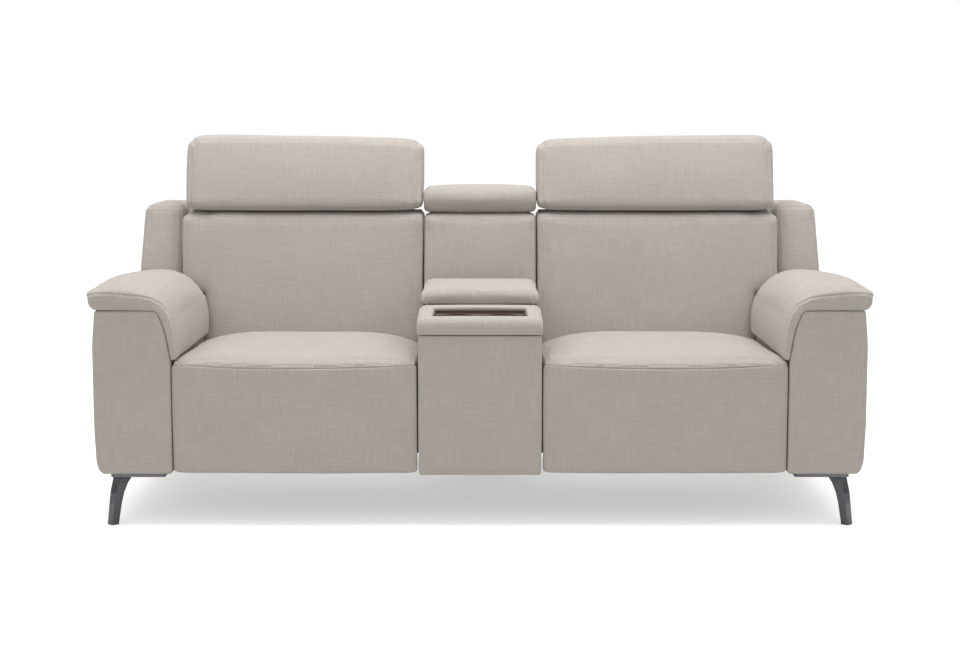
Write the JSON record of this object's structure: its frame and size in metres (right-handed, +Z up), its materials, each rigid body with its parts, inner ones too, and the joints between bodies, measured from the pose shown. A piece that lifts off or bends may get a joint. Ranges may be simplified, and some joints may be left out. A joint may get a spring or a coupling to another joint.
{
  "type": "two-seat reclining sofa with console",
  "caption": "Upholstered two-seat sofa with reclining backs, swing-up footrests, tilting headrests and a centre console with padded lid and cup tray, on blade legs.",
  "frame": {"origin": "on the floor under the middle of the sofa's width and depth", "axes": "+X to the viewer's right along the seats, +Y to the back of the sofa, +Z up"},
  "size_m": [2.01, 0.9596, 0.9958],
  "materials": {
    "woven_fabric": "plain linen-look weave with a cross-hatched slub, light greige",
    "leg_metal": "polished dark nickel",
    "zinc_steel": "zinc plated strip and tube",
    "black_steel": "satin black powder coat",
    "frame_board": "plain birch plywood",
    "tray_plastic": "fine matte, dark brown",
    "black_plastic": "moulded matte black",
    "button_plastic": "smooth dark grey"
  },
  "bodies": {
    "base": {"arm_cover_left": "woven_fabric", "arm_cover_right": "woven_fabric", "arm_frame_left": "frame_board", "arm_frame_right": "frame_board", "arm_pad_left": "woven_fabric", "arm_pad_right": "woven_fabric", "base_frame": "zinc_steel", "centre_back_frame": "frame_board", "centre_back_pad": "woven_fabric", "centre_roll": "woven_fabric", "console_box": "frame_board", "console_cover": "woven_fabric", "console_front_pad": "woven_fabric", "console_front_panel": "woven_fabric", "cup_tray": "tray_plastic", "leg_screws": "zinc_steel", "legs": "leg_metal", "rear_skirt": "woven_fabric", "switch_panels": "black_plastic", "wing_left": "woven_fabric", "wing_right": "woven_fabric"},
    "seat_right": {"seat_frame_right": "black_steel", "seat_cushion_right": "woven_fabric", "actuator_housing_right": "black_plastic"},
    "back_right": {"back_frame_right": "frame_board", "back_cushion_right": "woven_fabric", "back_shell_right": "woven_fabric"},
    "headrest_right": {"headrest_board_right": "zinc_steel", "headrest_pad_right": "woven_fabric"},
    "footrest_right": {"footrest_board_right": "frame_board", "footrest_pad_right": "woven_fabric"},
    "link_rear_upper_right_pair": {"link_rear_upper_right": "zinc_steel"},
    "link_rear_lower_right_pair": {"link_rear_lower_right": "zinc_steel"},
    "link_cross_down_right_pair": {"link_cross_down_right": "zinc_steel"},
    "link_cross_up_right_pair": {"link_cross_up_right": "zinc_steel"},
    "link_front_lower_right_pair": {"link_front_lower_right": "zinc_steel"},
    "drive_slider_right": {"actuator_slider_right": "black_steel"},
    "recline_key_right": {"recline_button_right": "button_plastic"},
    "close_key_right": {"close_button_right": "button_plastic"},
    "seat_left": {"seat_frame_left": "black_steel", "seat_cushion_left": "woven_fabric", "actuator_housing_left": "black_plastic"},
    "back_left": {"back_frame_left": "frame_board", "back_cushion_left": "woven_fabric", "back_shell_left": "woven_fabric"},
    "headrest_left": {"headrest_board_left": "zinc_steel", "headrest_pad_left": "woven_fabric"},
    "footrest_left": {"footrest_board_left": "frame_board", "footrest_pad_left": "woven_fabric"},
    "link_rear_upper_left_pair": {"link_rear_upper_left": "zinc_steel"},
    "link_rear_lower_left_pair": {"link_rear_lower_left": "zinc_steel"},
    "link_cross_down_left_pair": {"link_cross_down_left": "zinc_steel"},
    "link_cross_up_left_pair": {"link_cross_up_left": "zinc_steel"},
    "link_front_lower_left_pair": {"link_front_lower_left": "zinc_steel"},
    "drive_slider_left": {"actuator_slider_left": "black_steel"},
    "recline_key_left": {"recline_button_left": "button_plastic"},
    "close_key_left": {"close_button_left": "button_plastic"},
    "console_lid": {"lid_board": "frame_board", "lid_pad": "woven_fabric"}
  },
  "joints": [
    {"name": "seat_glide_right", "type": "slide", "parent": "base", "child": "seat_right", "axis": [0, -1, 0], "range_m": [0, 0.045]},
    {"name": "back_recline_right", "type": "hinge", "parent": "seat_right", "child": "back_right", "pos_m": [0.477, 0.08, 0.335], "axis": [-1, 0, 0], "range_deg": [0, 25]},
    {"name": "headrest_tilt_right", "type": "hinge", "parent": "back_right", "child": "headrest_right", "pos_m": [0.477, 0.26197, 0.786], "axis": [-1, 0, 0], "range_deg": [0, 52]},
    {"name": "footrest_drive_right", "type": "hinge", "parent": "seat_right", "child": "link_rear_upper_right_pair", "pos_m": [0.477, -0.365, 0.23], "axis": [1, 0, 0], "range_deg": [0, 76]},
    {"name": "scissor_rear_lower_right", "type": "hinge", "parent": "seat_right", "child": "link_rear_lower_right_pair", "pos_m": [0.477, -0.365, 0.23], "axis": [1, 0, 0], "range_deg": [-76, 0]},
    {"name": "scissor_cross_down_right", "type": "hinge", "parent": "link_rear_upper_right_pair", "child": "link_cross_down_right_pair", "pos_m": [0.477, -0.35777, 0.31268], "axis": [1, 0, 0], "range_deg": [-152, 0]},
    {"name": "scissor_cross_up_right", "type": "hinge", "parent": "link_rear_lower_right_pair", "child": "link_cross_up_right_pair", "pos_m": [0.477, -0.39202, 0.15152], "axis": [1, 0, 0], "range_deg": [0, 152]},
    {"name": "scissor_front_lower_right", "type": "hinge", "parent": "link_cross_down_right_pair", "child": "link_front_lower_right_pair", "pos_m": [0.477, -0.41181, 0.15573], "axis": [1, 0, 0], "range_deg": [0, 152]},
    {"name": "footrest_swing_right", "type": "hinge", "parent": "link_cross_up_right_pair", "child": "footrest_right", "pos_m": [0.477, -0.37755, 0.31689], "axis": [1, 0, 0], "range_deg": [-152, 0]},
    {"name": "drive_slide_right", "type": "slide", "parent": "seat_right", "child": "drive_slider_right", "axis": [0, -1, 0], "range_m": [0, 0.05561]},
    {"name": "recline_press_right", "type": "slide", "parent": "base", "child": "recline_key_right", "axis": [-1, 0, 0], "range_m": [0, 0.0015], "stiffness_N_per_m": 400},
    {"name": "close_press_right", "type": "slide", "parent": "base", "child": "close_key_right", "axis": [-1, 0, 0], "range_m": [0, 0.0015], "stiffness_N_per_m": 400},
    {"name": "seat_glide_left", "type": "slide", "parent": "base", "child": "seat_left", "axis": [0, -1, 0], "range_m": [0, 0.045]},
    {"name": "back_recline_left", "type": "hinge", "parent": "seat_left", "child": "back_left", "pos_m": [-0.477, 0.08, 0.335], "axis": [-1, 0, 0], "range_deg": [0, 25]},
    {"name": "headrest_tilt_left", "type": "hinge", "parent": "back_left", "child": "headrest_left", "pos_m": [-0.477, 0.26197, 0.786], "axis": [-1, 0, 0], "range_deg": [0, 52]},
    {"name": "footrest_drive_left", "type": "hinge", "parent": "seat_left", "child": "link_rear_upper_left_pair", "pos_m": [-0.477, -0.365, 0.23], "axis": [1, 0, 0], "range_deg": [0, 76]},
    {"name": "scissor_rear_lower_left", "type": "hinge", "parent": "seat_left", "child": "link_rear_lower_left_pair", "pos_m": [-0.477, -0.365, 0.23], "axis": [1, 0, 0], "range_deg": [-76, 0]},
    {"name": "scissor_cross_down_left", "type": "hinge", "parent": "link_rear_upper_left_pair", "child": "link_cross_down_left_pair", "pos_m": [-0.477, -0.35777, 0.31268], "axis": [1, 0, 0], "range_deg": [-152, 0]},
    {"name": "scissor_cross_up_left", "type": "hinge", "parent": "link_rear_lower_left_pair", "child": "link_cross_up_left_pair", "pos_m": [-0.477, -0.39202, 0.15152], "axis": [1, 0, 0], "range_deg": [0, 152]},
    {"name": "scissor_front_lower_left", "type": "hinge", "parent": "link_cross_down_left_pair", "child": "link_front_lower_left_pair", "pos_m": [-0.477, -0.41181, 0.15573], "axis": [1, 0, 0], "range_deg": [0, 152]},
    {"name": "footrest_swing_left", "type": "hinge", "parent": "link_cross_up_left_pair", "child": "footrest_left", "pos_m": [-0.477, -0.37755, 0.31689], "axis": [1, 0, 0], "range_deg": [-152, 0]},
    {"name": "drive_slide_left", "type": "slide", "parent": "seat_left", "child": "drive_slider_left", "axis": [0, -1, 0], "range_m": [0, 0.05561]},
    {"name": "recline_press_left", "type": "slide", "parent": "base", "child": "recline_key_left", "axis": [1, 0, 0], "range_m": [0, 0.0015], "stiffness_N_per_m": 400},
    {"name": "close_press_left", "type": "slide", "parent": "base", "child": "close_key_left", "axis": [1, 0, 0], "range_m": [0, 0.0015], "stiffness_N_per_m": 400},
    {"name": "lid_hinge", "type": "hinge", "parent": "base", "child": "console_lid", "pos_m": [0, 0.063, 0.549], "axis": [-1, 0, 0], "range_deg": [0, 85]}
  ],
  "couplings": [
    {"joint": "back_recline_right", "follows": "seat_glide_right", "rad_per_m": 9.6963},
    {"joint": "scissor_rear_lower_right", "follows": "footrest_drive_right", "ratio": -1},
    {"joint": "scissor_cross_down_right", "follows": "footrest_drive_right", "ratio": -2},
    {"joint": "scissor_cross_up_right", "follows": "footrest_drive_right", "ratio": 2},
    {"joint": "scissor_front_lower_right", "follows": "footrest_drive_right", "ratio": 2},
    {"joint": "footrest_swing_right", "follows": "footrest_drive_right", "ratio": -2},
    {"joint": "drive_slide_right", "follows": "footrest_drive_right", "m_per_rad": 0.041773},
    {"joint": "back_recline_left", "follows": "seat_glide_left", "rad_per_m": 9.6963},
    {"joint": "scissor_rear_lower_left", "follows": "footrest_drive_left", "ratio": -1},
    {"joint": "scissor_cross_down_left", "follows": "footrest_drive_left", "ratio": -2},
    {"joint": "scissor_cross_up_left", "follows": "footrest_drive_left", "ratio": 2},
    {"joint": "scissor_front_lower_left", "follows": "footrest_drive_left", "ratio": 2},
    {"joint": "footrest_swing_left", "follows": "footrest_drive_left", "ratio": -2},
    {"joint": "drive_slide_left", "follows": "footrest_drive_left", "m_per_rad": 0.041773}
  ]
}
